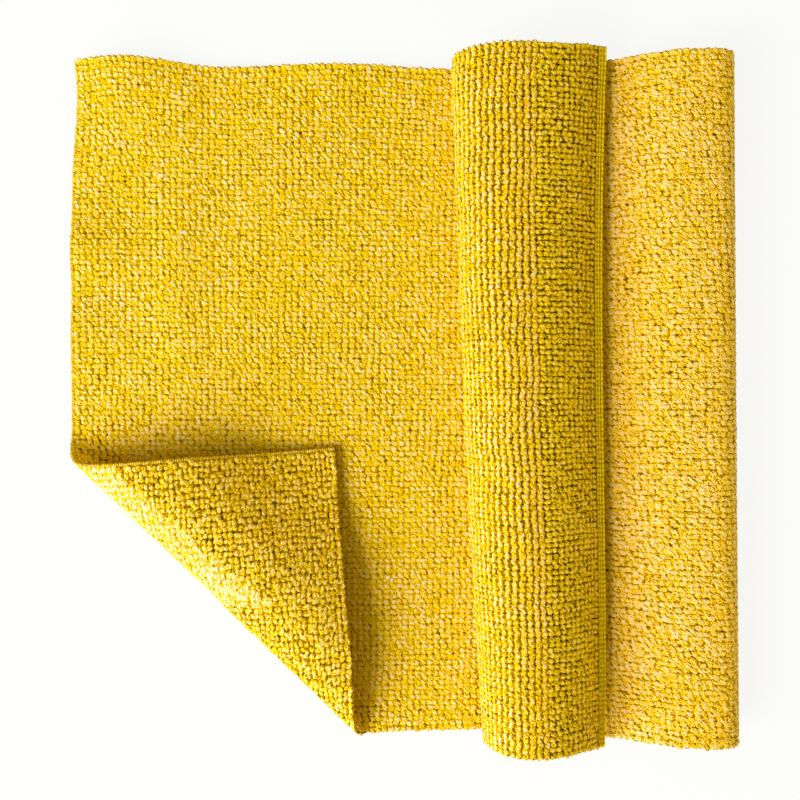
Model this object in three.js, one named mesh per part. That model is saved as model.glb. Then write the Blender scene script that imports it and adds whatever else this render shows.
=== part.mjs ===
// A looped-pile pet towel, laid out on a surface: the left half lies flat with its front left
// corner turned over, and the right half is folded back on itself and then forward again, so
// that the end of the cloth stands up as a soft hollow roll on top of the layers below.
// Millimetres, +Z up, +X from the flat left edge towards the right-hand fold, +Y to the back.
//
// The cloth is one sheet. A place on it is (s, w): s along its length from the left edge, and
// w across its width from the middle, positive to the back.

import * as THREE from "three";

const { clamp, degToRad, lerp } = THREE.MathUtils;

// ---------------------------------------------------------------- driving dimensions

const LENGTH = 500; // of the cloth, as cut
const WIDTH = 300;
const THICKNESS = 3; // over the pile on both faces
const SELVEDGE = { width: 4.2, taper: 0.8, thickness: 1.5 }; // the bare knitted band at the end of the cloth
const LAYER_GAP = 0.5; // between layers that lie on each other

const FLOOR_LAYER_Z = THICKNESS / 2; // the middle of the cloth where it lies on the surface
const SECOND_LAYER_Z = FLOOR_LAYER_Z + THICKNESS + LAYER_GAP;

// The fold section, with one row for each stretch of cloth, from the left edge to the selvedge.
// Each row gives its size at the back edge, in the middle and at the front edge of the cloth.
// A bend has a radius and a turn in degrees, positive where the cloth turns up and to the left.
const SECTION = {
  leftEdgeX: { back: -147.4, middle: -147.4, front: -147.4 },
  rightBendX: { back: 135.4, middle: 136.4, front: 137.8 }, // centre of the right-hand bend
  rightBend: { radius: { back: 9.4, middle: 9.3, front: 9.2 }, turn: 180 },
  shoulder: { radius: { back: 58, middle: 60, front: 62 } }, // over the top of the right fold
  heel: { radius: 11 }, // where the second layer comes down on the first
  fallTurn: { back: 30.5, middle: 29.5, front: 28.5 }, // how steeply it comes down
  creaseX: { back: 29, middle: 34.8, front: 42.3 }, // where the second layer turns up
  crease: {
    radius: { back: 4.8, middle: 5.2, front: 4.5 },
    turn: { back: -104, middle: -108, front: -96 },
  },
  rollSide: {
    radius: { back: 16.5, middle: 25.5, front: 26 },
    turn: { back: -34, middle: -39, front: -45 },
  },
  rollTop: {
    radius: { back: 27.5, middle: 19, front: 15.5 },
    turn: { back: -34, middle: -38, front: -43 },
  },
  rollBack: {
    radius: { back: 47, middle: 44.5, front: 30 },
    turn: { back: -51, middle: -40, front: -50 },
  },
  rollFoot: { radius: 14, turn: 34 },
  rollEnd: { run: 0.5, lift: 2 }, // it stands a little off the layer below
};
const SELVEDGE_REST = LAYER_GAP + SELVEDGE.thickness / 2; // above the second layer's pile

// The front left corner, turned up and over along a slanting bend. The bend starts on a line
// that meets the left edge and the front edge at these distances from the corner.
const CORNER = {
  alongLeftEdge: 139.3,
  alongFrontEdge: 139.9,
  leftRadius: 8.5, // the bend is a cone, fuller at the left edge
  frontRadius: 4.2,
  climb: 28, // degrees by which the flap still rises where it leaves the bend
  crest: 6, // from there it arches over a crest this many times as wide as the bend,
  slopeRun: 12, // down a short slope
  footRadius: 90, // and flattens out on the cloth below
};

// Places where the cloth stands up a little. Each is a soft mound.
const RIPPLES = [
  { name: "back left corner", s: 20, w: 158, reachS: 30, reachW: 34, height: 6.5 },
  { name: "left edge", s: -4, w: 66, reachS: 34, reachW: 12, height: 2.4 },
  { name: "left edge, nearer", s: -4, w: 28, reachS: 26, reachW: 14, height: 1.5 },
  { name: "long soft crease", s: 48, w: 55, reachS: 11, reachW: 60, height: 1.2 },
  { name: "back edge", s: 112, w: 160, reachS: 32, reachW: 22, height: 2.2 },
  { name: "cut edge of the flap", s: 62, w: -152, reachS: 30, reachW: 26, height: 3.4 },
];

// How far each edge is drawn out or in from straight, near a place along it.
const EDGE_SHAPE = [
  { name: "back left corner, out", edge: "back", middle: 24, reach: 24, out: 1.6 },
  { name: "back edge past the corner, in", edge: "back", middle: 66, reach: 24, out: -1.2 },
  { name: "back edge beside the roll, in", edge: "back", middle: 160, reach: 30, out: -1.8 },
  { name: "back end of the selvedge, out", edge: "back", middle: 499, reach: 19, out: 5.4 },
  { name: "front end of the selvedge, out", edge: "front", middle: 499, reach: 13, out: 3 },
  { name: "front edge past the flap, in", edge: "front", middle: 200, reach: 70, out: -1.8 },
  { name: "back left corner, in", edge: "left", middle: 138, reach: 26, out: -3.4 },
];
const EDGE_SHAPE_DEPTH = 60; // how far in from the left edge its shape is felt
const EDGE_WAVE = { height: 0.4, back: 17, front: 23 }; // a slow wave, with the lengths along it

// ---------------------------------------------------------------- the fold section

// The size of a row at the share v of the way from the back edge to the front edge: a smooth
// curve through its three values.
function at(size, v) {
  if (typeof size === "number") return size;
  return size.back * (1 - v) * (1 - 2 * v) + 4 * size.middle * v * (1 - v) + size.front * v * (2 * v - 1);
}

const straight = (run) => ({ length: run, turn: 0 });

function bend(row, v) {
  const turn = degToRad(at(row.turn, v));
  return { length: at(row.radius, v) * Math.abs(turn), turn };
}

// The stretches of cloth across the folds, for a slice of the towel at v. The runs that lie
// flat, and the slopes down from the right fold and from the roll, take what is left.
function stretchesAt(v) {
  const fallTurn = at(SECTION.fallTurn, v);
  const fall = degToRad(fallTurn);
  const bendRadius = at(SECTION.rightBend.radius, v);
  const shoulderRadius = at(SECTION.shoulder.radius, v);
  const radii = shoulderRadius + SECTION.heel.radius;
  const drop = FLOOR_LAYER_Z + 2 * bendRadius - SECOND_LAYER_Z;
  const slope = (drop - radii * (1 - Math.cos(fall))) / Math.sin(fall);
  const heelX = at(SECTION.rightBendX, v) - radii * Math.sin(fall) - slope * Math.cos(fall);
  const roll = [SECTION.crease, SECTION.rollSide, SECTION.rollTop, SECTION.rollBack];
  const rise = [straight(0), ...roll.map((row) => bend(row, v))];
  const foot = [bend(SECTION.rollFoot, v), straight(SECTION.rollEnd.run)];
  const landing = walk([...rise, ...foot], Infinity);
  const heading = rise.reduce((sum, stretch) => sum + stretch.turn, Math.PI);
  const spare = THICKNESS / 2 + SELVEDGE_REST + SECTION.rollEnd.lift + landing.z;
  const rollSlope = spare / Math.sin(heading);
  return [
    straight(at(SECTION.rightBendX, v) - at(SECTION.leftEdgeX, v)),
    bend(SECTION.rightBend, v),
    bend({ radius: shoulderRadius, turn: fallTurn }, v),
    straight(slope),
    bend({ radius: SECTION.heel.radius, turn: -fallTurn }, v),
    straight(heelX - at(SECTION.creaseX, v)),
    ...rise.slice(1),
    straight(rollSlope),
    ...foot,
  ];
}

// How many facets each of those stretches has along the cloth.
const FACETS = [25, 9, 3, 2, 3, 5, 6, 4, 4, 4, 1, 2, 3];

const lengthOf = (stretches) => stretches.reduce((sum, stretch) => sum + stretch.length, 0);

// The place reached after a distance along stretches that start at the origin, heading right.
function walk(stretches, distance) {
  let [x, z, heading, left] = [0, 0, 0, distance];
  for (const { length, turn } of stretches) {
    const part = Math.min(left, length);
    if (turn === 0) {
      x += part * Math.cos(heading);
      z += part * Math.sin(heading);
    } else {
      const radius = length / turn;
      const next = heading + part / radius;
      x += radius * (Math.sin(next) - Math.sin(heading));
      z += radius * (Math.cos(heading) - Math.cos(next));
      heading = next;
    }
    left -= part;
    if (left <= 0) break;
  }
  return { x, z };
}

// ---------------------------------------------------------------- the turned corner

const corner = new THREE.Vector2(0, -WIDTH / 2);
const bendStart = new THREE.Vector2(0, corner.y + CORNER.alongLeftEdge);
const bendEnd = new THREE.Vector2(CORNER.alongFrontEdge, corner.y);
const bendLength = bendStart.distanceTo(bendEnd);
const alongBend = bendEnd.clone().sub(bendStart).normalize();
const towardsCorner = new THREE.Vector2(alongBend.y, -alongBend.x);
const cornerDepth = corner.clone().sub(bendStart).dot(towardsCorner);

// The bend's cone comes to a point on the line of its start, past the front edge.
const coneLength = (bendLength * CORNER.leftRadius) / (CORNER.leftRadius - CORNER.frontRadius);
const coneTip = bendStart.clone().addScaledVector(alongBend, coneLength);

// The flap's section across the bend: nearly half a turn up and over, then a crest, a slope
// and a foot that bring it down from the crest's top onto the cloth below.
const CLIMB = degToRad(CORNER.climb);
function flapStretches(radius) {
  const crestRadius = CORNER.crest * radius;
  const top = FLOOR_LAYER_Z + radius * (1 + Math.cos(CLIMB)) + crestRadius * (1 - Math.cos(CLIMB));
  const drop = top - SECOND_LAYER_Z;
  const radii = crestRadius + CORNER.footRadius;
  const run = CORNER.slopeRun;
  const halfTan = (Math.sqrt(run * run + drop * (2 * radii - drop)) - run) / (2 * radii - drop);
  const fall = 2 * Math.atan(halfTan);
  return [
    { length: (Math.PI - CLIMB) * radius, turn: Math.PI - CLIMB },
    { length: crestRadius * (CLIMB + fall), turn: CLIMB + fall },
    straight(run),
    { length: CORNER.footRadius * fall, turn: -fall },
    straight(cornerDepth),
  ];
}

// ---------------------------------------------------------------- the sheet in space

function rippleHeight(s, w) {
  return RIPPLES.reduce((sum, { s: s0, w: w0, reachS, reachW, height }) => {
    const away = ((s - s0) / reachS) ** 2 + ((w - w0) / reachW) ** 2;
    return sum + height * Math.exp(-away);
  }, 0);
}

// The shift of a place near an edge that isn't straight, as a vector over the cloth.
function edgeShift(s, w) {
  const side = w > 0 ? "back" : "front";
  const acrossShare = Math.abs(w / (WIDTH / 2)) ** 2;
  const leftShare = clamp(1 - s / EDGE_SHAPE_DEPTH, 0, 1) ** 2;
  const shift = new THREE.Vector2(0, acrossShare * EDGE_WAVE.height * Math.sin(s / EDGE_WAVE[side]));
  for (const { edge, middle, reach, out } of EDGE_SHAPE) {
    const along = edge === "left" ? w : s;
    const size = out * Math.exp(-(((along - middle) / reach) ** 2));
    if (edge === "left") shift.x -= size * leftShare;
    else if (edge === side) shift.y += Math.sign(w) * size * acrossShare;
  }
  return shift;
}

// Where a place on the flap comes to: over the surface, and how far above the floor layer.
function turnOver(s, w) {
  const fromTip = new THREE.Vector2(s, w).sub(coneTip);
  const reach = fromTip.length();
  const angle = Math.atan2(fromTip.dot(towardsCorner), -fromTip.dot(alongBend));
  const radius = (CORNER.leftRadius * reach) / coneLength;
  const { x, z } = walk(flapStretches(radius), reach * angle);
  const turned = coneTip.clone().addScaledVector(alongBend, -reach * Math.cos(x / reach));
  return { over: turned.addScaledVector(towardsCorner, reach * Math.sin(x / reach)), z };
}

// Where the middle of the cloth's thickness lies at (s, w).
function place(s, w) {
  const shifted = new THREE.Vector2(s, w).add(edgeShift(s, w));
  const beyond = shifted.clone().sub(bendStart).dot(towardsCorner);
  const { over, z: lift } = beyond > 0 ? turnOver(shifted.x, shifted.y) : { over: shifted, z: 0 };
  const v = clamp(0.5 - over.y / WIDTH, 0, 1);
  const stretches = stretchesAt(v);
  const { x, z } = walk(stretches, (over.x * lengthOf(stretches)) / LENGTH);
  const height = FLOOR_LAYER_Z + z + lift + rippleHeight(s, w);
  return new THREE.Vector3(at(SECTION.leftEdgeX, v) + x, over.y, height);
}

// The way the pile on the upper face points at (s, w).
function facing(s, w) {
  const step = 0.05;
  const alongS = place(s + step, w).sub(place(s - step, w));
  const alongW = place(s, w + step).sub(place(s, w - step));
  return alongS.cross(alongW).normalize();
}

function thicknessAt(s) {
  const bare = (s - LENGTH + SELVEDGE.width + SELVEDGE.taper) / SELVEDGE.taper;
  return lerp(THICKNESS, SELVEDGE.thickness, clamp(bare, 0, 1));
}

// ---------------------------------------------------------------- facets

const ROWS = 26; // across the width
const CORNER_COLUMNS = 12; // of the columns that reach the turned corner
const CORNER_ROWS = { bend: 10, flap: 8 };

// Distances along the cloth for one line of facets across it. Past the turned corner they
// follow the ends of the stretches, so that each bend keeps its own facets along the line.
function columnsAt(v) {
  const stretches = stretchesAt(v);
  const scale = LENGTH / lengthOf(stretches);
  const flatEnd = stretches[0].length * scale;
  const flatFacets = FACETS[0] - CORNER_COLUMNS;
  const columns = [];
  for (let i = 0; i <= CORNER_COLUMNS; i++) columns.push((bendEnd.x * i) / CORNER_COLUMNS);
  for (let i = 1; i <= flatFacets; i++) columns.push(lerp(bendEnd.x, flatEnd, i / flatFacets));
  let start = flatEnd;
  stretches.slice(1).forEach((stretch, n) => {
    const facets = FACETS[n + 1];
    for (let i = 1; i <= facets; i++) columns.push(start + (stretch.length * scale * i) / facets);
    start += stretch.length * scale;
  });
  const bare = LENGTH - SELVEDGE.width;
  const pileEnd = bare - SELVEDGE.taper;
  const foot = columns.at(-6); // where the roll's slope ends
  columns.splice(-5, 5, lerp(foot, pileEnd, 0.5), pileEnd, bare, lerp(bare, LENGTH, 0.5), LENGTH);
  return columns;
}

// The main part of the sheet: columns along the cloth, each from the front edge, or from the
// start of the corner's bend, to the back edge.
function mainPlaces() {
  const count = columnsAt(0).length;
  const grid = [];
  for (let i = 0; i < count; i++) {
    const s0 = i <= CORNER_COLUMNS ? columnsAt(0)[i] : null;
    const front = s0 === null ? corner.y : lerp(bendStart.y, bendEnd.y, s0 / bendEnd.x);
    const column = [];
    for (let j = 0; j <= ROWS; j++) {
      const w = lerp(front, WIDTH / 2, j / ROWS);
      column.push(new THREE.Vector2(s0 ?? columnsAt(0.5 - w / WIDTH)[i], w));
    }
    grid.push(column);
  }
  return grid;
}

// The turned corner: lines from its left edge to its front edge, drawn in towards the corner.
// The first of them share out the bend, which is longer at the left edge.
function cornerPlaces() {
  const shares = [];
  for (let k = 1; k <= CORNER_ROWS.bend; k++) shares.push([k / CORNER_ROWS.bend, 0]);
  for (let k = 1; k < CORNER_ROWS.flap; k++) shares.push([1, k / CORNER_ROWS.flap]);
  const drawnIn = (from, radius, [bendShare, flapShare]) => {
    const bendEnds = ((Math.PI - CLIMB) * radius) / cornerDepth;
    return from.clone().lerp(corner, lerp(bendEnds * bendShare, 1, flapShare));
  };
  return shares.map((share) => {
    const start = drawnIn(bendStart, CORNER.leftRadius, share);
    const end = drawnIn(bendEnd, CORNER.frontRadius, share);
    const row = [];
    for (let i = 0; i <= CORNER_COLUMNS; i++) row.push(start.clone().lerp(end, i / CORNER_COLUMNS));
    return row;
  });
}

// The whole sheet as a flat mesh: places on the cloth, and triangles that turn anticlockwise.
function flatMesh() {
  const places = [];
  const triangles = [];
  const number = (place) => places.push(place) - 1;
  const quad = (a, b, c, d) => triangles.push([a, b, c], [a, c, d]);
  const grid = mainPlaces().map((column) => column.map(number));
  for (let i = 0; i + 1 < grid.length; i++)
    for (let j = 0; j < ROWS; j++) quad(grid[i][j], grid[i + 1][j], grid[i + 1][j + 1], grid[i][j + 1]);
  let upper = grid.slice(0, CORNER_COLUMNS + 1).map((column) => column[0]);
  for (const row of cornerPlaces()) {
    const lower = row.map(number);
    for (let i = 0; i < CORNER_COLUMNS; i++) quad(lower[i], lower[i + 1], upper[i + 1], upper[i]);
    upper = lower;
  }
  const tip = number(corner.clone());
  for (let i = 0; i < CORNER_COLUMNS; i++) triangles.push([tip, upper[i + 1], upper[i]]);
  return { places, triangles };
}

// A closed solid: the sheet's upper face, its lower face, and a wall along every open edge.
function clothGeometry() {
  const { places, triangles } = flatMesh();
  const count = places.length;
  const upper = [];
  const lower = [];
  for (const { x: s, y: w } of places) {
    const middle = place(s, w);
    const half = facing(s, w).multiplyScalar(thicknessAt(s) / 2);
    upper.push(...middle.clone().add(half).toArray());
    lower.push(...middle.clone().sub(half).toArray());
  }
  const index = [];
  const open = new Map();
  for (const [a, b, c] of triangles) {
    index.push(a, b, c, a + count, c + count, b + count);
    for (const [from, to] of [[a, b], [b, c], [c, a]])
      if (!open.delete(`${to},${from}`)) open.set(`${from},${to}`, [from, to]);
  }
  for (const [from, to] of open.values())
    index.push(from, from + count, to + count, from, to + count, to);
  const geometry = new THREE.BufferGeometry();
  geometry.setAttribute("position", new THREE.Float32BufferAttribute([...upper, ...lower], 3));
  geometry.setIndex(index);
  return geometry;
}

// The middle of the footprint goes over the origin, and the underside stays on the surface.
function centred(geometry) {
  geometry.computeBoundingBox();
  const middle = geometry.boundingBox.getCenter(new THREE.Vector3());
  geometry.translate(-middle.x, -middle.y, 0);
  geometry.computeVertexNormals();
  return geometry;
}

const pile = new THREE.MeshStandardMaterial({ color: 0xeabf2d, roughness: 0.95, metalness: 0 });

const towel = new THREE.Mesh(centred(clothGeometry()), pile);
towel.name = "towel";

const group = new THREE.Group();
group.add(towel);

export default group;
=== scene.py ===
import bpy
import numpy as np
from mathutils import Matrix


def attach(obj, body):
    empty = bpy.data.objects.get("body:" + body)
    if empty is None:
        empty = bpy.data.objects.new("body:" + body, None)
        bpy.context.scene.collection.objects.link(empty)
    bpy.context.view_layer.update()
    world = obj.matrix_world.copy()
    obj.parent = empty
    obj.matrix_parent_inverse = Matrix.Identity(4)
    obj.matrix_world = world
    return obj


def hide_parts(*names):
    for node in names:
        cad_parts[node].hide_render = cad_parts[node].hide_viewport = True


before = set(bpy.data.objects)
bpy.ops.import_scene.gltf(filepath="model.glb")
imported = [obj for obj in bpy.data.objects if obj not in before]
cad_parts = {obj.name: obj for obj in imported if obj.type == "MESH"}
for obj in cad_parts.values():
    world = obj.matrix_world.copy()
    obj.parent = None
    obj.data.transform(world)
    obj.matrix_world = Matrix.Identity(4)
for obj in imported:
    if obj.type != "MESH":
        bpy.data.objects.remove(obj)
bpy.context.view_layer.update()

# A looped-pile pet towel: one sheet of knitted cloth, folded back and forth, with its front
# left corner turned over. A place on the flat cloth is (s, w), in millimetres: s along its
# length from the left edge, w across its width from the middle, positive to the back.

MM = 0.001

# ------------------------------------------------------------------ the cloth's measures

LENGTH = 500
WIDTH = 300
THICKNESS = 3  # over the pile on both faces
GROUND = 1.0  # the knitted ground that the loops stand on
SELVEDGE_BAND = 4.2  # the bare band at the end of the cloth
STITCHED_EDGE = 1.4  # the overlocked band at the start of the cloth
LAYER_GAP = 0.5

FLOOR_LAYER_Z = THICKNESS / 2
SECOND_LAYER_Z = FLOOR_LAYER_Z + THICKNESS + LAYER_GAP
SELVEDGE_REST = 1.25  # the selvedge's middle above the second layer's pile

# The folds, with a row for each bend: its radius and its turn in degrees, or a place along x,
# each at the back edge, in the middle and at the front edge of the cloth.
FOLDS = {
    "left edge": {"x": (-147.4, -147.4, -147.4)},
    "right bend": {"x": (135.4, 136.4, 137.8), "radius": (9.4, 9.3, 9.2), "turn": (180, 180, 180)},
    "shoulder": {"radius": (58, 60, 62), "turn": (30.5, 29.5, 28.5)},
    "heel": {"radius": (11, 11, 11), "turn": (-30.5, -29.5, -28.5)},
    "crease": {"x": (29, 34.8, 42.3), "radius": (4.8, 5.2, 4.5), "turn": (-104, -108, -96)},
    "roll side": {"radius": (16.5, 25.5, 26), "turn": (-34, -39, -45)},
    "roll top": {"radius": (27.5, 19, 15.5), "turn": (-34, -38, -43)},
    "roll back": {"radius": (47, 44.5, 30), "turn": (-51, -40, -50)},
    "roll foot": {"radius": (14, 14, 14), "turn": (34, 34, 34)},
    "roll end": {"run": (0.5, 0.5, 0.5), "lift": (2, 2, 2)},
}

# The turned corner: where its bend starts along the two edges, the radii of the bend at
# each end, by how many degrees the flap still climbs where it leaves the bend, and the
# crest, slope and foot by which it comes down.
CORNER = {
    "along left edge": 139.3,
    "along front edge": 139.9,
    "left radius": 8.5,
    "front radius": 4.2,
    "climb": 28,
    "crest": 6,
    "slope run": 12,
    "foot radius": 90,
}

# Soft mounds where the cloth stands up a little, and how far each reaches.
RIPPLES = [
    {"name": "back left corner", "s": 20, "w": 158, "reach s": 30, "reach w": 34, "height": 6.5},
    {"name": "left edge", "s": -4, "w": 66, "reach s": 34, "reach w": 12, "height": 2.4},
    {"name": "left edge, nearer", "s": -4, "w": 28, "reach s": 26, "reach w": 14, "height": 1.5},
    {"name": "long soft crease", "s": 48, "w": 55, "reach s": 11, "reach w": 60, "height": 1.2},
    {"name": "back edge", "s": 112, "w": 160, "reach s": 32, "reach w": 22, "height": 2.2},
    {"name": "flap's cut edge", "s": 62, "w": -152, "reach s": 30, "reach w": 26, "height": 3.4},
]

# Where an edge is drawn out or in from straight.
EDGE_SHAPE = [
    {"edge": "back", "middle": 24, "reach": 24, "out": 1.6},
    {"edge": "back", "middle": 66, "reach": 24, "out": -1.2},
    {"edge": "back", "middle": 160, "reach": 30, "out": -1.8},
    {"edge": "back", "middle": 499, "reach": 19, "out": 5.4},
    {"edge": "front", "middle": 499, "reach": 13, "out": 3},
    {"edge": "front", "middle": 200, "reach": 70, "out": -1.8},
    {"edge": "left", "middle": 138, "reach": 26, "out": -3.4},
]
EDGE_SHAPE_DEPTH = 60
EDGE_WAVE = {"height": 0.4, "back": 17, "front": 23}

WALE = 2.855  # between loops along the cloth
COURSE = WIDTH / 130  # between loops across it

# How the loops stand in each part: the side of the cloth that they are on, their pitch as a
# share of the knit's, their half length along the cloth, half width and height, by how much
# these vary from loop to loop and from patch to patch, how far the loops stray from their
# place and zigzag from one to the next, their slant and how far they turn from it in degrees,
# and how far their crowns lean.
LOOKS = {
    "fine": {
        "side": 1, "pitch": 1.0, "length": 1.95, "width": 1.5, "height": 0.8, "vary": 0.1, "patches": 0.04,
        "stray": 0.27, "zigzag": 0.25, "slant": -30, "turn": 14, "lean": 0.3,
    },
    "fine, opened": {
        "side": 1, "pitch": 1.0, "length": 1.32, "width": 1.8, "height": 0.98, "vary": 0.08, "patches": 0.03,
        "stray": 0.12, "zigzag": 0.2, "slant": -16, "turn": 12, "lean": 0.2,
    },
    "fine, in rows": {
        "side": 1, "pitch": 1.0, "length": 1.7, "width": 1.26, "height": 1.02, "vary": 0.18, "patches": 0.1,
        "stray": 0.3, "zigzag": 0.25, "slant": -8, "turn": 24, "lean": 0.25,
    },
    "fluffy": {
        "side": -1, "pitch": 1.0, "length": 2.1, "width": 1.46, "height": 0.84, "vary": 0.12,
        "patches": 0.04, "stray": 0.34, "zigzag": 0.3, "slant": -18, "turn": 18, "lean": 0.5,
    },
    "fluffy, stretched, with painted light": {
        "side": -1, "pitch": 1.0, "length": 2.25, "width": 1.75, "height": 0.72, "vary": 0.16,
        "patches": 0.06, "stray": 0.4, "zigzag": 0.2, "slant": 0, "turn": 34, "lean": 0.45,
    },
    "fluffy, opened": {
        "side": -1, "pitch": 0.92, "length": 1.7, "width": 1.3, "height": 1.15, "vary": 0.22,
        "patches": 0.1, "stray": 0.46, "zigzag": 0.1, "slant": 0, "turn": 38, "lean": 0.6,
    },
}

# Slow random changes over the cloth: about how far apart each one's values are, and its seed.
DRIFTS = {
    "loop size": (23, 5),
    "swirl": (31, 6),
    "small swirl": (12, 7),
    "tint": (9, 8),
    "wide tint": (40, 9),
    "stray along": (14, 12),
    "stray across": (11, 13),
}

# How many places along and across the cloth are worked out for each purpose.
FOOTPRINT_GRID = (251, 151)
GROUND_GRID = (191, 106)


# ------------------------------------------------------------------ the folded surface


def at(sizes, v):
    """A row's size at the share v of the way from the back edge to the front edge: the smooth
    curve of second degree through its three values."""
    back, middle, front = sizes
    return back * (1 - v) * (1 - 2 * v) + 4 * middle * v * (1 - v) + front * v * (2 * v - 1)


def walk(stretches, distance):
    """Where a walk of that distance along the stretches ends, as x, z and heading. Each
    stretch is a length and a turn: an arc's chord is its length times the sine of half its
    turn over half its turn, in the direction half-way through the turn."""
    x = z = heading = 0 * distance
    left = distance
    for number, (length, turn) in enumerate(stretches):
        part = np.minimum(left, length)
        if number:
            part = np.maximum(part, 0)
        swing = part * turn / np.where(length == 0, 1, length)
        chord = part * np.sinc(swing / 2 / np.pi)
        x = x + chord * np.cos(heading + swing / 2)
        z = z + chord * np.sin(heading + swing / 2)
        heading = heading + swing
        left = left - part
    return x, z, heading


def bend(row, v):
    """A row of FOLDS as a stretch: its length is its radius times its turn."""
    turn = np.radians(at(FOLDS[row]["turn"], v))
    return at(FOLDS[row]["radius"], v) * np.abs(turn), turn


def fold_stretches(v):
    """The stretches of cloth from the left edge over the folds to the selvedge, at v. The
    flat runs and the slopes take the lengths that bring each bend to its own height."""
    fall = np.radians(at(FOLDS["shoulder"]["turn"], v))
    bend_x = at(FOLDS["right bend"]["x"], v)
    radii = at(FOLDS["shoulder"]["radius"], v) + at(FOLDS["heel"]["radius"], v)
    drop = FLOOR_LAYER_Z + 2 * at(FOLDS["right bend"]["radius"], v) - SECOND_LAYER_Z
    slope = (drop - radii * (1 - np.cos(fall))) / np.sin(fall)
    heel_x = bend_x - radii * np.sin(fall) - slope * np.cos(fall)
    rise = [bend(row, v) for row in ("crease", "roll side", "roll top", "roll back")]
    foot = [bend("roll foot", v), (at(FOLDS["roll end"]["run"], v), 0 * v)]
    far = 0 * v + LENGTH
    landing_z = walk([(0 * v, 0 * v)] + rise + foot, far)[1]
    heading = np.pi + sum(turn for _, turn in rise)
    lift = at(FOLDS["roll end"]["lift"], v)
    roll_slope = (THICKNESS / 2 + SELVEDGE_REST + lift + landing_z) / np.sin(heading)
    return [
        (bend_x - at(FOLDS["left edge"]["x"], v), 0 * v),
        bend("right bend", v),
        bend("shoulder", v),
        (slope, 0 * v),
        bend("heel", v),
        (heel_x - at(FOLDS["crease"]["x"], v), 0 * v),
        *rise,
        (roll_slope, 0 * v),
        *foot,
    ]


def flap_stretches(radius):
    """The flap across its bend: nearly half a turn, then a crest, a slope and a foot whose
    fall angle is the one that loses the height of the crest's top."""
    climb = np.radians(CORNER["climb"])
    crest_radius = CORNER["crest"] * radius
    top = FLOOR_LAYER_Z + radius * (1 + np.cos(climb)) + crest_radius * (1 - np.cos(climb))
    drop = top - SECOND_LAYER_Z
    run = CORNER["slope run"]
    spare = 2 * (crest_radius + CORNER["foot radius"]) - drop
    fall = 2 * np.arctan((np.sqrt(run * run + drop * spare) - run) / spare)
    still = 0 * radius
    return [
        ((np.pi - climb) * radius, still + np.pi - climb),
        (crest_radius * (climb + fall), climb + fall),
        (still + run, still),
        (CORNER["foot radius"] * fall, -fall),
        (still + WIDTH, still),
    ]


corner = np.array([0, -WIDTH / 2])
bend_start = corner + [0, CORNER["along left edge"]]
bend_end = corner + [CORNER["along front edge"], 0]
bend_length = np.hypot(*(bend_end - bend_start))
along_bend = (bend_end - bend_start) / bend_length
towards_corner = np.array([along_bend[1], -along_bend[0]])
cone_length = bend_length * CORNER["left radius"] / (CORNER["left radius"] - CORNER["front radius"])
cone_tip = bend_start + along_bend * cone_length


def past_bend(s, w):
    """How far a place lies past the line where the corner's bend starts."""
    return (s - bend_start[0]) * towards_corner[0] + (w - bend_start[1]) * towards_corner[1]


def turn_over(s, w):
    """Where a place past the bend's start comes to, over the flat cloth, and its lift. The
    bend is a cone: a place keeps its distance from the cone's tip, and its arc round the tip
    is walked along the flap's stretches."""
    away_s, away_w = s - cone_tip[0], w - cone_tip[1]
    reach = np.hypot(away_s, away_w)
    across = away_s * towards_corner[0] + away_w * towards_corner[1]
    along = -away_s * along_bend[0] - away_w * along_bend[1]
    radius = CORNER["left radius"] * reach / cone_length
    x, lift, _ = walk(flap_stretches(radius), np.maximum(reach * np.arctan2(across, along), 0))
    angle = x / reach
    over = cone_tip + reach[:, None] * (
        np.sin(angle)[:, None] * towards_corner - np.cos(angle)[:, None] * along_bend
    )
    return over[:, 0], over[:, 1], lift


def ripple_height(s, w):
    """The sum of the soft mounds: each is its height times e to the minus squared distance,
    the distance being measured in its own reaches."""
    height = 0 * s
    for row in RIPPLES:
        away = ((s - row["s"]) / row["reach s"]) ** 2 + ((w - row["w"]) / row["reach w"]) ** 2
        height = height + row["height"] * np.exp(-away)
    return height


def edge_shift(s, w):
    """The shift of places near an edge that isn't straight: a slow sine wave along the back
    and front edges, and bulges of bell shape, all fading with the square of the distance."""
    back = w > 0
    across = (w / (WIDTH / 2)) ** 2
    inward = np.clip(1 - s / EDGE_SHAPE_DEPTH, 0, 1) ** 2
    wave = np.where(back, np.sin(s / EDGE_WAVE["back"]), np.sin(s / EDGE_WAVE["front"]))
    shift_s = 0 * s
    shift_w = across * EDGE_WAVE["height"] * wave
    for row in EDGE_SHAPE:
        along = w if row["edge"] == "left" else s
        size = row["out"] * np.exp(-(((along - row["middle"]) / row["reach"]) ** 2))
        if row["edge"] == "left":
            shift_s = shift_s - size * inward
        else:
            on_edge = back if row["edge"] == "back" else ~back
            shift_w = shift_w + on_edge * np.sign(w) * size * across
    return shift_s, shift_w


def place(s, w):
    """The middle of the cloth's thickness at (s, w), in millimetres."""
    shift_s, shift_w = edge_shift(s, w)
    flat_s, flat_w = s + shift_s, w + shift_w
    turned = past_bend(flat_s, flat_w) > 0
    over_s, over_w, lift = turn_over(flat_s, flat_w)
    over_s = np.where(turned, over_s, flat_s)
    over_w = np.where(turned, over_w, flat_w)
    v = np.clip(0.5 - over_w / WIDTH, 0, 1)
    stretches = fold_stretches(v)
    total = sum(length for length, _ in stretches)
    x, z, _ = walk(stretches, over_s * total / LENGTH)
    height = FLOOR_LAYER_Z + z + np.where(turned, lift, 0) + ripple_height(s, w)
    return np.stack([at(FOLDS["left edge"]["x"], v) + x, over_w, height], axis=1)


def unit(vectors):
    """Vectors brought to length one."""
    return vectors / np.linalg.norm(vectors, axis=1, keepdims=True)


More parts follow.
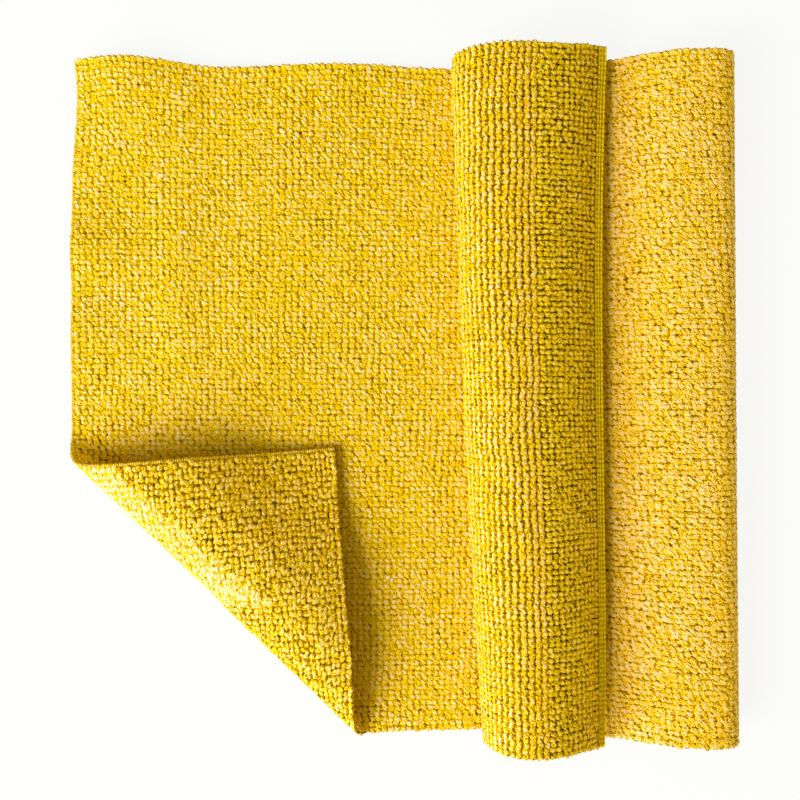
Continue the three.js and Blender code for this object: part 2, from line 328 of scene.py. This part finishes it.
def surface(s, w):
    """The place at (s, w) and three unit directions there: along the cloth, across it, and
    out of its upper face. Differences over a short step give the first and the last."""
    step = 0.05
    along = place(s + step, w) - place(s - step, w)
    across = place(s, w + step) - place(s, w - step)
    out = unit(np.cross(along, across))
    along = unit(along)
    return place(s, w), along, np.cross(out, along), out


def grid(count_s, count_w):
    """A grid of places over the whole cloth, as flat arrays, w running fastest."""
    s, w = np.meshgrid(
        np.linspace(0, LENGTH, count_s), np.linspace(-WIDTH / 2, WIDTH / 2, count_w), indexing="ij"
    )
    return s.ravel(), w.ravel()


def footprint_middle():
    """The middle of the solid cloth's footprint, which goes over the origin: half-way between
    the least and the greatest of both faces, which lie half a thickness out from the middle."""
    middle, _, _, out = surface(*grid(*FOOTPRINT_GRID))
    faces = np.concatenate([middle + out * THICKNESS / 2, middle - out * THICKNESS / 2])
    centre = (faces.min(axis=0) + faces.max(axis=0)) / 2
    return np.array([centre[0], centre[1], 0])


FOOTPRINT_MIDDLE = footprint_middle()


def drift(s, w, size, seed):
    """A slow random field from -1 to 1 that changes over about the given size: random values
    on a coarse lattice, with a smooth step between neighbours."""
    lattice = np.random.default_rng(seed).uniform(-1, 1, (int(LENGTH / size) + 3, int(WIDTH / size) + 3))
    i, j = s / size + 0.5, (w + WIDTH / 2) / size + 0.5
    i, j = np.clip(i, 0, lattice.shape[0] - 1.001), np.clip(j, 0, lattice.shape[1] - 1.001)
    a, b = i.astype(int), j.astype(int)
    f, g = i - a, j - b
    f, g = f * f * (3 - 2 * f), g * g * (3 - 2 * g)
    low = lattice[a, b] * (1 - g) + lattice[a, b + 1] * g
    high = lattice[a + 1, b] * (1 - g) + lattice[a + 1, b + 1] * g
    return low * (1 - f) + high * f


# ------------------------------------------------------------------ meshes


def new_piece(name, points, triangles, cells, values, smooth, material):
    """A piece from its points in millimetres, its triangles, a place on its flat map for each
    point, and named values or vectors for each point. Nothing goes below the surface it rests
    on."""
    points = (points - FOOTPRINT_MIDDLE) * MM
    points[:, 2] = np.maximum(points[:, 2], 0)
    mesh = bpy.data.meshes.new(name)
    mesh.vertices.add(len(points))
    mesh.vertices.foreach_set("co", points.astype(np.float32).ravel())
    mesh.loops.add(3 * len(triangles))
    mesh.loops.foreach_set("vertex_index", triangles.astype(np.int32).ravel())
    mesh.polygons.add(len(triangles))
    mesh.polygons.foreach_set("loop_start", np.arange(0, 3 * len(triangles), 3, dtype=np.int32))
    mesh.polygons.foreach_set("use_smooth", np.full(len(triangles), smooth))
    mesh.update(calc_edges=True)
    flat_map = mesh.uv_layers.new(name="OFBake")
    flat_map.uv.foreach_set("vector", cells[triangles.ravel()].astype(np.float32).ravel())
    for value_name, value in values.items():
        kind, field = ("FLOAT", "value") if value.ndim == 1 else ("FLOAT_VECTOR", "vector")
        attribute = mesh.attributes.new(value_name, kind, "POINT")
        attribute.data.foreach_set(field, value.astype(np.float32).ravel())
    mesh.materials.append(material)
    piece = bpy.data.objects.new(name, mesh)
    bpy.context.scene.collection.objects.link(piece)
    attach(piece, "root")
    return piece


def ground_sheet(material):
    """The knitted ground as one closed sheet: a grid of places pushed out to both faces by
    half its thickness, with a wall along the edge."""
    count_s, count_w = GROUND_GRID
    s, w = grid(count_s, count_w)
    middle, _, _, out = surface(s, w)
    points = np.concatenate([middle + out * GROUND / 2, middle - out * GROUND / 2])
    number = np.arange(count_s * count_w).reshape(count_s, count_w)
    a, b = number[:-1, :-1].ravel(), number[1:, :-1].ravel()
    c, d = number[1:, 1:].ravel(), number[:-1, 1:].ravel()
    upper = np.concatenate([np.stack([a, b, c], 1), np.stack([a, c, d], 1)])
    lower = upper[:, ::-1] + number.size
    rim = np.concatenate([number[:, 0], number[-1, 1:], number[-2::-1, -1], number[0, -2::-1]])
    here, there = rim[:-1], rim[1:]
    wall = np.concatenate([
        np.stack([here, here + number.size, there + number.size], 1),
        np.stack([here, there + number.size, there], 1),
    ])
    share_s, share_w = s / LENGTH, w / WIDTH + 0.5
    cells = np.concatenate([
        np.stack([share_s, share_w * 0.49], 1),
        np.stack([share_s, share_w * 0.49 + 0.51], 1),
    ])
    bare = np.clip(STITCHED_EDGE + 0.5 - s, 0, 1) + np.clip(s - LENGTH + SELVEDGE_BAND + 0.5, 0, 1)
    bare = np.maximum(bare, np.abs(w) > WIDTH / 2 - 0.1)
    rungs = np.stack([s / WALE, w / COURSE, 0 * s], 1)
    values = {"bare": np.tile(bare, 2), "rungs": np.tile(rungs, (2, 1))}
    triangles = np.concatenate([upper, lower, wall])
    return new_piece("ground_sheet", points, triangles, cells, values, True, material)


def bead(around, rings, squareness):
    """One loop seen from outside, as a small pillow of unit size: rings of points from its
    root to its shoulder, each with a spread and a rise, and a crown point. A ring is a
    superellipse, squarer as its squareness grows: its radius is the sum of the absolute
    cosine and sine to that power, to the power of minus one over it. Gives the points' x, y
    and rise, their place in their own map cell, and the triangles."""
    angle = np.arange(around) * 2 * np.pi / around
    cos, sin = np.cos(angle), np.sin(angle)
    radius = (np.abs(cos) ** squareness + np.abs(sin) ** squareness) ** (-1 / squareness)
    spread = np.array([row["spread"] for row in rings])
    rise = np.array([row["rise"] for row in rings])
    cell = np.linspace(0.48, 0.48 / len(rings), len(rings))
    x = np.append(np.outer(spread, radius * cos).ravel(), 0)
    y = np.append(np.outer(spread, radius * sin).ravel(), 0)
    z = np.append(np.repeat(rise, around), 1)
    u = np.append(np.outer(cell, cos).ravel(), 0)
    v = np.append(np.outer(cell, sin).ravel(), 0)
    k = np.arange(around)
    after = (k + 1) % around
    triangles = []
    for ring in range(len(rings) - 1):
        low, high = ring * around, (ring + 1) * around
        triangles.append(np.stack([low + k, low + after, high + after], 1))
        triangles.append(np.stack([low + k, high + after, high + k], 1))
    last = (len(rings) - 1) * around
    triangles.append(np.stack([last + k, last + after, np.full(around, len(rings) * around)], 1))
    return x, y, z, u, v, np.concatenate(triangles)


STRAND = {"slant": np.radians(-40), "length": 1.7, "width": 0.72}  # the filament bundles in a loop
RAGGED = {"spread": 0.14, "rise": 0.13}  # how far a bead's points stray from its smooth shape
FULL_BEAD = bead(8, [
    {"spread": 1.1, "rise": -0.05},
    {"spread": 0.72, "rise": 0.78},
], 2.0)
PLAIN_BEAD = bead(4, [
    {"spread": 0.95, "rise": -0.1},
    {"spread": 0.95, "rise": 0.6},
], 2)


def stand_beads(name, shape, s, w, side, sizes, turn, lean, cells, tint, material):
    """Stands a bead at each (s, w), on the upper face where side is 1 and on the lower where
    it is -1: made ragged by moving each of its points in or out a little, turned in the plane
    of the cloth, stretched to its length, width and height, and sheared by its lean as it
    rises."""
    x, y, z, u, v, triangles = shape
    ragged = np.random.default_rng(len(s)).uniform(-1, 1, (2, len(s), len(x)))
    swell = 1 + RAGGED["spread"] * ragged[0]
    x, y, z = x * swell, y * swell, z * (1 + RAGGED["rise"] * ragged[1])
    length, width, height = (size[:, None] for size in sizes)
    middle, along, across, out = surface(s, w)
    across, out = across * side, out * side
    cos, sin = np.cos(turn)[:, None], np.sin(turn)[:, None]
    rise = np.maximum(z, 0) ** 1.5
    across_bead = length * x * sin + width * y * cos + lean[1][:, None] * rise
    along_bead = length * x * cos - width * y * sin + lean[0][:, None] * rise
    up = GROUND / 2 + height * z
    points = (
        middle[:, None]
        + along[:, None] * along_bead[..., None]
        + across[:, None] * across_bead[..., None]
        + out[:, None] * up[..., None]
    )
    count = len(s)
    places = np.stack([cells[0][:, None] + u * cells[2], cells[1][:, None] + v * cells[3]], 2)
    numbers = triangles[None] + (np.arange(count) * len(shape[0]))[:, None, None]
    flat_s, flat_w = s[:, None] + along_bead, w[:, None] + side * across_bead
    cos, sin = np.cos(STRAND["slant"]), np.sin(STRAND["slant"]) * side
    strands = np.stack([
        (flat_s * cos + flat_w * sin) / STRAND["length"],
        (flat_w * cos - flat_s * sin) / STRAND["width"],
        np.broadcast_to(z, flat_s.shape) * 0.4,
    ], 2)
    values = {
        "rise": np.clip(z, 0, 1).ravel(),
        "tint": np.repeat(tint, len(shape[0])),
        "strands": strands.reshape(-1, 3),
    }
    return new_piece(
        name, points.reshape(-1, 3), numbers.reshape(-1, 3), places.reshape(-1, 2), values, False,
        material,
    )


def pile(name, look, shape, material, s_range, w_range, past):
    """The loops of one face over part of the cloth: a lattice of wales and courses, each loop
    straying a little, turned and sized at random, with slow changes from place to place. The
    loops kept lie in the ranges along and across the cloth and past the corner's bend. By a
    cut edge they lean out over it, and the slow straying fades towards every edge."""
    look = LOOKS[look]
    wale, course = WALE * look["pitch"], COURSE * look["pitch"]
    count_s = round((LENGTH - STITCHED_EDGE - SELVEDGE_BAND) / wale)
    i, j = np.meshgrid(np.arange(count_s), np.arange(round(WIDTH / course)), indexing="ij")
    i, j = i.ravel(), j.ravel()
    s, w = STITCHED_EDGE + (i + 0.5) * wale, (j + 0.5) * course - WIDTH / 2
    random = np.random.default_rng(2 + look["side"]).uniform(-1, 1, (8, len(s)))
    kept = (s >= s_range[0]) & (s < s_range[1]) & (w >= w_range[0]) & (w < w_range[1])
    kept &= (past_bend(s, w) > past[0]) & (past_bend(s, w) <= past[1])
    i, j, s, w, random = i[kept], j[kept], s[kept], w[kept], random[:, kept]
    spread = drift(s, w, *DRIFTS["loop size"])
    swirl = drift(s, w, *DRIFTS["swirl"]) + 0.5 * drift(s, w, *DRIFTS["small swirl"])
    alternate = np.where(j % 2 == 0, 1, -1)
    length = look["length"] * (1 + look["vary"] * random[0] + look["patches"] * spread)
    width = look["width"] * (1 + 0.7 * look["vary"] * random[1] - 0.5 * look["patches"] * spread)
    height = look["height"] * (1 + 0.07 * random[2])
    turn = np.radians(look["slant"] + look["turn"] * (random[3] + 0.7 * swirl))
    lean = [look["lean"] * (random[4] + 0.4 * swirl), look["lean"] * random[5]]
    edge = np.clip((np.abs(w) - WIDTH / 2 + 1.5 * COURSE) / COURSE, 0, 1)
    lean[1] = lean[1] + look["side"] * np.sign(w) * edge * 0.55 * (random[6] + 0.7)
    inside = np.clip(np.minimum(np.minimum(s, LENGTH - s), WIDTH / 2 - np.abs(w)) / 12, 0, 1)
    slow_s = 0.7 * inside * drift(s, w, *DRIFTS["stray along"])
    slow_w = 0.45 * inside * drift(s, w, *DRIFTS["stray across"])
    stray_s = look["zigzag"] * alternate + look["stray"] * random[6] + slow_s
    stray_w = look["stray"] * random[7] * (1 - 0.8 * edge) + slow_w
    low_i, low_j = i.min(), j.min()
    size_i, size_j = 1 / (i.max() - low_i + 1), 1 / (j.max() - low_j + 1)
    cells = ((i - low_i + 0.5) * size_i, (j - low_j + 0.5) * size_j, size_i, size_j)
    tint = 0.5 + 0.25 * random[2] + 0.2 * drift(s, w, *DRIFTS["tint"])
    tint = tint + 0.15 * drift(s, w, *DRIFTS["wide tint"])
    return stand_beads(
        name, shape, s + stray_s, w + stray_w, look["side"], (length, width, height), turn, lean,
        cells, tint, material,
    )


def stitches(name, s_lines, side, pitch, sizes, turn, material):
    """Lines of small stitches across the cloth, each line at its own s: a bead at the middle of
    each pitch, with its length, width, height and turn varied a little at random."""
    count = round(WIDTH / pitch)
    i, j = np.meshgrid(np.arange(len(s_lines)), np.arange(count), indexing="ij")
    i, j = i.ravel(), j.ravel()
    s, w = np.array(s_lines)[i], (j + 0.5) * WIDTH / count - WIDTH / 2
    random = np.random.default_rng(11).uniform(-1, 1, (4, len(s)))
    length, width, height = (size * (1 + 0.08 * random[n]) for n, size in enumerate(sizes))
    still = np.zeros(len(s))
    cells = ((i + 0.5) / len(s_lines), (j + 0.5) / count, 1 / len(s_lines), 1 / count)
    return stand_beads(
        name, FULL_BEAD, s, w, side, (length, width, height), np.radians(turn) + 0.12 * random[3],
        (still, still), cells, 0.5 + 0.2 * random[0], material,
    )


# ------------------------------------------------------------------ finishes


class Value:
    """A number that changes over a surface: sums and products of it add Math nodes."""

    def __init__(self, finish, socket):
        self.finish = finish
        self.socket = socket

    def maths(self, operation, first, second):
        return self.finish.value("ShaderNodeMath", {"operation": operation}, {0: first, 1: second})

    def __add__(self, other):
        return self.maths("ADD", self, other)

    def __radd__(self, other):
        return self.maths("ADD", other, self)

    def __sub__(self, other):
        return self.maths("SUBTRACT", self, other)

    def __rsub__(self, other):
        return self.maths("SUBTRACT", other, self)

    def __mul__(self, other):
        return self.maths("MULTIPLY", self, other)

    def __rmul__(self, other):
        return self.maths("MULTIPLY", other, self)


class Finish:
    """A material being made: every node comes from one method."""

    def __init__(self, name):
        self.material = bpy.data.materials.new(name)
        self.material.use_nodes = True
        self.nodes = self.material.node_tree.nodes
        self.links = self.material.node_tree.links
        self.nodes.clear()

    def node(self, kind, settings=None, sockets=None):
        """A node of that kind, with its settings made first, then its sockets' values or
        links."""
        node = self.nodes.new(kind)
        for name, setting in (settings or {}).items():
            setattr(node, name, setting)
        for key, given in (sockets or {}).items():
            given = given.socket if isinstance(given, Value) else given
            if isinstance(given, bpy.types.NodeSocket):
                self.links.new(given, node.inputs[key])
            else:
                node.inputs[key].default_value = given
        return node

    def value(self, kind, settings=None, sockets=None, output=0):
        """The output of such a node, as a Value."""
        return Value(self, self.node(kind, settings, sockets).outputs[output])

    def mix(self, factor, first, second):
        """A colour between two colours."""
        settings = {"data_type": "RGBA", "clamp_factor": True}
        node = self.node("ShaderNodeMix", settings, {0: factor, 6: first, 7: second})
        return node.outputs[2]

    def noise(self, scale, detail=1.0, along=None):
        """Cloudy noise on the piece's own coordinates, or along one of its named vectors."""
        if along is None:
            vector = self.node("ShaderNodeTexCoord").outputs["Object"]
        else:
            vector = self.node("ShaderNodeAttribute", {"attribute_name": along}).outputs["Vector"]
        sockets = {"Vector": vector, "Scale": scale, "Detail": detail, "Roughness": 0.5}
        return self.value("ShaderNodeTexNoise", None, sockets)

    def attribute(self, name):
        """One of the piece's named values."""
        return self.value("ShaderNodeAttribute", {"attribute_name": name}, None, "Fac")

    def cloth(self, colour, bump, bump_depth, **constants):
        """A soft cloth shader of that colour and bump, ending the material."""
        lift = self.node("ShaderNodeBump", None, {"Height": bump, "Distance": bump_depth, "Strength": 1.0})
        sockets = {"Base Color": colour, "Normal": lift.outputs[0], **constants}
        shader = self.node("ShaderNodeBsdfPrincipled", None, sockets)
        self.node("ShaderNodeOutputMaterial", None, {"Surface": shader.outputs[0]})
        return self.material


# The colours of each look: at a loop's roots, darkened as painted shade between the loops; of its yarn;
# and of its pale tips, a painted highlight; how far up a loop the painted highlights start and over how much
# of its rise they come in, and how strongly its filament bundles (grain) and single fibres show.
COLOURS = {
    "fine": {
        "root": (0.32, 0.18, 0.0002, 1), "yarn": (0.98, 0.635, 0.001, 1), "tip": (1.0, 0.78, 0.56, 1),
        "painted highlights start": 0.86, "painted highlights spread": 0.143, "grain": 2.9, "fibre": 4.2,
    },
    "fine, opened": {
        "root": (0.2, 0.115, 0.0002, 1), "yarn": (0.97, 0.6, 0.001, 1), "tip": (1.0, 0.74, 0.56, 1),
        "painted highlights start": 0.86, "painted highlights spread": 0.143, "grain": 3.6, "fibre": 4.2,
    },
    # Painted light and shade on the roll's shaded back: the darkest roots and the brightest yarn, so the
    # crowns stand out.
    "fine, in rows": {
        "root": (0.12, 0.07, 0.0002, 1), "yarn": (1.0, 0.66, 0.001, 1), "tip": (1.0, 0.78, 0.3, 1),
        "painted highlights start": 0.865, "painted highlights spread": 0.143, "grain": 4.2, "fibre": 4.4,
    },
    "fluffy": {
        "root": (0.28, 0.14, 0.0002, 1), "yarn": (0.97, 0.59, 0.01, 1), "tip": (1.0, 0.7, 0.38, 1),
        "painted highlights start": 0.79, "painted highlights spread": 0.25, "grain": 3.4, "fibre": 4.2,
    },
    # Painted light: the corner's bend faces the key lamp, so its loops have lighter roots and paler tips.
    "fluffy, stretched, with painted light": {
        "root": (0.5, 0.29, 0.0002, 1), "yarn": (1.0, 0.63, 0.01, 1), "tip": (1.0, 0.74, 0.5, 1),
        "painted highlights start": 0.8, "painted highlights spread": 0.143, "grain": 4.0, "fibre": 4.8,
    },
    "fluffy, opened": {
        "root": (0.24, 0.138, 0.0002, 1), "yarn": (0.98, 0.635, 0.001, 1), "tip": (1.0, 0.77, 0.44, 1),
        "painted highlights start": 0.85, "painted highlights spread": 0.143, "grain": 3.4, "fibre": 4.2,
    },
    # Painted light: the selvedge's chains lie on the roll's shaded side and are made lighter, their roots
    # nearly as light as the yarn.
    "selvedge": {
        "root": (0.85, 0.56, 0.0002, 1), "yarn": (1.0, 0.74, 0.001, 1), "tip": (1.0, 0.8, 0.05, 1),
        "painted highlights start": 0.8, "painted highlights spread": 0.143, "grain": 1.6, "fibre": 1.6,
    },
}

# The yarn's share of a loop's colour at its roots, and how much it gains up to the crown; the rest is the
# dark root colour, painted shade between the loops.
YARN_SHARE = {"roots": 0.4, "gain": 1.4}

# How much the filament bundles, the fibres and each loop's tint add to its pale tips, a painted highlight.
PAINTED_HIGHLIGHT_SPECKS = {"strands": 3.2, "fibres": 1.5, "tint": 0.6}

# Painted shade: the ground between the rungs is nearly black, for the shade deep among the loops.
GROUND_PAINTED_SHADE = (0.06, 0.033, 0.0002, 1)
RUNG_COLOUR = (0.9, 0.52, 0.001, 1)
# The bare bands, darker than the stitches on them: painted shade between the stitch lines.
BARE_COLOUR = (0.6, 0.36, 0.001, 1)
SOFT = {
    "Roughness": 0.5,
    "Specular IOR Level": 0.15,
    "Specular Tint": (1.0, 0.8, 0.15, 1),
    "Sheen Weight": 0.02,
    "Sheen Roughness": 0.5,
    "Sheen Tint": (1.0, 0.75, 0.02, 1),
}


def pile_finish(face):
    """Looped microfibre yarn: painted shade darkens each loop towards its roots, pale specks near
    the crowns are a painted highlight, more or less of it by each loop's own tint, and the filaments are
    bump."""
    finish = Finish(f"looped microfibre, {face}")
    colours = COLOURS[face]
    rise, tint = finish.attribute("rise"), finish.attribute("tint")
    strands = finish.noise(1.0, 0.0, "strands")
    fibres = finish.noise(1600, 0.0)
    grain = (strands - 0.5) * colours["grain"] + (fibres - 0.5) * colours["fibre"]
    # painted shade: towards a loop's roots its colour goes over to the dark root colour
    lit = rise * YARN_SHARE["gain"] + YARN_SHARE["roots"] + grain
    yarn = finish.mix(lit, colours["root"], colours["yarn"])
    # painted highlight: pale specks from the filament bundles, the fibres and each loop's tint
    highlight_speck = (strands - 0.5) * PAINTED_HIGHLIGHT_SPECKS["strands"] + (fibres - 0.5) * PAINTED_HIGHLIGHT_SPECKS["fibres"]
    highlight_speck = highlight_speck + tint * PAINTED_HIGHLIGHT_SPECKS["tint"] - PAINTED_HIGHLIGHT_SPECKS["tint"] / 2
    above = (rise - colours["painted highlights start"]) * (1 / colours["painted highlights spread"])
    # near the crowns the colour goes over to the painted highlight's pale tip colour
    crown = finish.mix(above + highlight_speck, yarn, colours["tip"])
    return finish.cloth(crown, strands * 0.5 + fibres * 0.5, 0.0009, **SOFT)


def ground_finish():
    """The knitted ground between the loops: rungs of yarn along the middle of each course of
    the knit and beside it, with nearly black painted shade between them, and a fine knit bump."""
    finish = Finish("knitted ground")
    knit = finish.noise(1400, 2.0)
    across = finish.node("ShaderNodeAttribute", {"attribute_name": "rungs"}).outputs["Vector"]
    course = Value(finish, finish.node("ShaderNodeSeparateXYZ", None, {0: across}).outputs["Y"])
    broad = finish.value("ShaderNodeMath", {"operation": "COSINE"}, {0: course * (2 * np.pi)})
    narrow = finish.value("ShaderNodeMath", {"operation": "COSINE"}, {0: course * (4 * np.pi)})
    rungs = broad * -0.8 + narrow * -0.6
    between = finish.mix(rungs + knit * 1.2 - 0.6, GROUND_PAINTED_SHADE, RUNG_COLOUR)
    colour = finish.mix(finish.attribute("bare"), between, BARE_COLOUR)
    return finish.cloth(colour, knit, 0.0002, **SOFT)


# ------------------------------------------------------------------ the towel

finishes = {face: pile_finish(face) for face in COLOURS}
ground = ground_sheet(ground_finish())
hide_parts("towel")

# Where one pile gives way to the next along the cloth.
BEND_STRETCHED_TO = 66  # the loops on the corner's bend stand wide apart up to here
PANEL_END = 183  # the floor layer goes under the roll
SEAM = 275  # the cloth's underside up to here is on the floor layer
FOLD_START = 283  # the right-hand fold starts to turn up
STRIP_END = 368  # the second layer goes under the roll
ROLL_START = 410  # just before the roll turns up
ROLL_ROWS_START = 465  # the roll's loops stand in plain rows from here to the selvedge

# Ranges across the cloth, and past the line where the corner's bend starts.
PANEL_PARTING = 20
WHOLE_WIDTH = (-WIDTH / 2, WIDTH / 2)
BACK_PART, FRONT_PART = (PANEL_PARTING, WIDTH / 2), (-WIDTH / 2, PANEL_PARTING)
FAR = 999
ON_BEND = (-4, 29)
ANYWHERE, FLAT_PART = (-FAR, FAR), (-FAR, ON_BEND[0])
TURNED_PART, FLAP_PART = (ON_BEND[0], FAR), (ON_BEND[1], FAR)

# The piles. Those that show have full loops, and those inside the folds and below plain ones.
PILES = [
    {"name": "panel_pile_back", "look": "fine", "shape": FULL_BEAD, "s": (0, PANEL_END),
     "w": BACK_PART},
    {"name": "panel_pile_front", "look": "fine", "shape": FULL_BEAD, "s": (0, PANEL_END),
     "w": FRONT_PART, "past bend": FLAT_PART},
    {"name": "corner_inside_pile", "look": "fine", "shape": PLAIN_BEAD, "s": (0, PANEL_END),
     "w": FRONT_PART, "past bend": TURNED_PART},
    {"name": "under_roll_pile", "look": "fine", "shape": PLAIN_BEAD, "s": (PANEL_END, FOLD_START)},
    {"name": "fold_inside_pile", "look": "fine", "shape": PLAIN_BEAD, "s": (FOLD_START, ROLL_START)},
    {"name": "roll_pile", "look": "fine, opened", "shape": FULL_BEAD,
     "s": (ROLL_START, ROLL_ROWS_START)},
    {"name": "roll_back_pile", "look": "fine, in rows", "shape": FULL_BEAD,
     "s": (ROLL_ROWS_START, LENGTH)},
    {"name": "underside_pile", "look": "fluffy", "shape": PLAIN_BEAD, "s": (0, SEAM),
     "past bend": FLAT_PART},
    {"name": "bend_pile", "look": "fluffy, stretched, with painted light", "shape": FULL_BEAD,
     "s": (0, BEND_STRETCHED_TO), "past bend": ON_BEND},
    {"name": "bend_front_pile", "look": "fluffy, opened", "shape": FULL_BEAD,
     "s": (BEND_STRETCHED_TO, SEAM), "past bend": ON_BEND},
    {"name": "flap_pile", "look": "fluffy, opened", "shape": FULL_BEAD, "s": (0, SEAM),
     "past bend": FLAP_PART},
    {"name": "strip_pile", "look": "fluffy", "shape": FULL_BEAD, "s": (SEAM, STRIP_END)},
    {"name": "roll_inside_pile", "look": "fluffy", "shape": PLAIN_BEAD, "s": (STRIP_END, LENGTH)},
]
trims = [
    pile(row["name"], row["look"], row["shape"], finishes[row["look"]], row["s"],
         row.get("w", WHOLE_WIDTH), row.get("past bend", ANYWHERE))
    for row in PILES
]

# The lines of stitches along the two short edges: their places along the cloth, and each
# stitch's pitch, half length, half width and height, and turn in degrees.
SELVEDGE_LINES = (496.5, 497.9, 499.35)
OVERLOCK_LINES = (STITCHED_EDGE / 2,)
CHAIN = {"pitch": 2.0, "sizes": (1.14, 0.54, 0.8), "turn": 90}
OVERLOCK = {"pitch": 0.95, "sizes": (0.9, 0.45, 0.45), "turn": 0}
for side, side_name in ((1, "upper"), (-1, "lower")):
    trims.append(stitches(f"selvedge_chains_{side_name}", SELVEDGE_LINES, side, CHAIN["pitch"],
                          CHAIN["sizes"], CHAIN["turn"], finishes["selvedge"]))
    trims.append(stitches(f"edge_stitches_{side_name}", OVERLOCK_LINES, side, OVERLOCK["pitch"],
                          OVERLOCK["sizes"], OVERLOCK["turn"], finishes["fine"]))

# ------------------------------------------------------------------ camera, light and floor

# The camera looks straight down on the towel.
camera = bpy.data.objects.new("camera", bpy.data.cameras.new("camera"))
camera.data.lens = 38.25
camera.data.clip_start = 0.01
camera.location = (-0.0003, -0.00145, 0.384)
bpy.context.scene.collection.objects.link(camera)
bpy.context.scene.camera = camera


def soft_lamp(name, place, size, power, colour=(1, 1, 1)):
    """A square soft lamp at a place, facing the towel: it is tipped by the angle of its
    direction from straight up, and then turned a quarter turn past the direction's own."""
    lamp = bpy.data.lights.new(name, "AREA")
    lamp.color = colour
    lamp.size = size
    lamp.energy = power
    holder = bpy.data.objects.new(name, lamp)
    direction = np.array(place) / np.linalg.norm(place)
    holder.location = place
    holder.rotation_euler = (np.arccos(direction[2]), 0, np.arctan2(direction[1], direction[0]) + np.pi / 2)
    bpy.context.scene.collection.objects.link(holder)


soft_lamp("key lamp", (-1.3, -0.81, 0.848), 1.3, 53.5)
soft_lamp("fill lamp", (1.8, 0.2, 0.38), 0.5, 11.5, (1, 0.92, 0.3))

# A soft warm light comes from all round, and the wall that the camera sees is white.
world = bpy.data.worlds.new("studio")
world.use_nodes = True
tree = world.node_tree
soft_light = tree.nodes["Background"]
soft_light.inputs["Color"].default_value = (1, 0.95, 0.15, 1)
soft_light.inputs["Strength"].default_value = 0.3
white_wall = tree.nodes.new("ShaderNodeBackground")
white_wall.inputs["Color"].default_value = (1, 1, 1, 1)
wall_or_light = tree.nodes.new("ShaderNodeMixShader")
tree.links.new(tree.nodes.new("ShaderNodeLightPath").outputs["Is Camera Ray"], wall_or_light.inputs[0])
tree.links.new(soft_light.outputs[0], wall_or_light.inputs[1])
tree.links.new(white_wall.outputs[0], wall_or_light.inputs[2])
tree.links.new(wall_or_light.outputs[0], tree.nodes["World Output"].inputs["Surface"])
bpy.context.scene.world = world


FLOOR_WHITENESS = 0.88  # the plain white's share of the floor, where it is seen


def white_floor():
    """A plain white floor that keeps part of the shadow: a mix of a matt white and, where the
    camera or a reflection sees it, plain white."""
    finish = Finish("white floor")
    path = finish.node("ShaderNodeLightPath")
    seen = Value(finish, path.outputs["Is Camera Ray"]) + Value(finish, path.outputs["Is Glossy Ray"])
    seen = seen + Value(finish, path.outputs["Is Transmission Ray"])
    matt = finish.node("ShaderNodeBsdfDiffuse", None, {"Color": (0.85, 0.85, 0.85, 1)})
    plain = finish.node("ShaderNodeEmission", None, {"Color": (1, 1, 1, 1), "Strength": 1.0})
    both = finish.node("ShaderNodeMixShader", None,
                       {0: seen * FLOOR_WHITENESS, 1: matt.outputs[0], 2: plain.outputs[0]})
    finish.node("ShaderNodeOutputMaterial", None, {"Surface": both.outputs[0]})
    mesh = bpy.data.meshes.new("floor")
    reach, depth = 3.0, -0.0002
    mesh.from_pydata(
        [(-reach, -reach, depth), (reach, -reach, depth), (reach, reach, depth), (-reach, reach, depth)],
        [], [(0, 1, 2, 3)],
    )
    mesh.materials.append(finish.material)
    floor = bpy.data.objects.new("floor", mesh)
    bpy.context.scene.collection.objects.link(floor)


white_floor()
bpy.context.scene.view_settings.view_transform = "Standard"
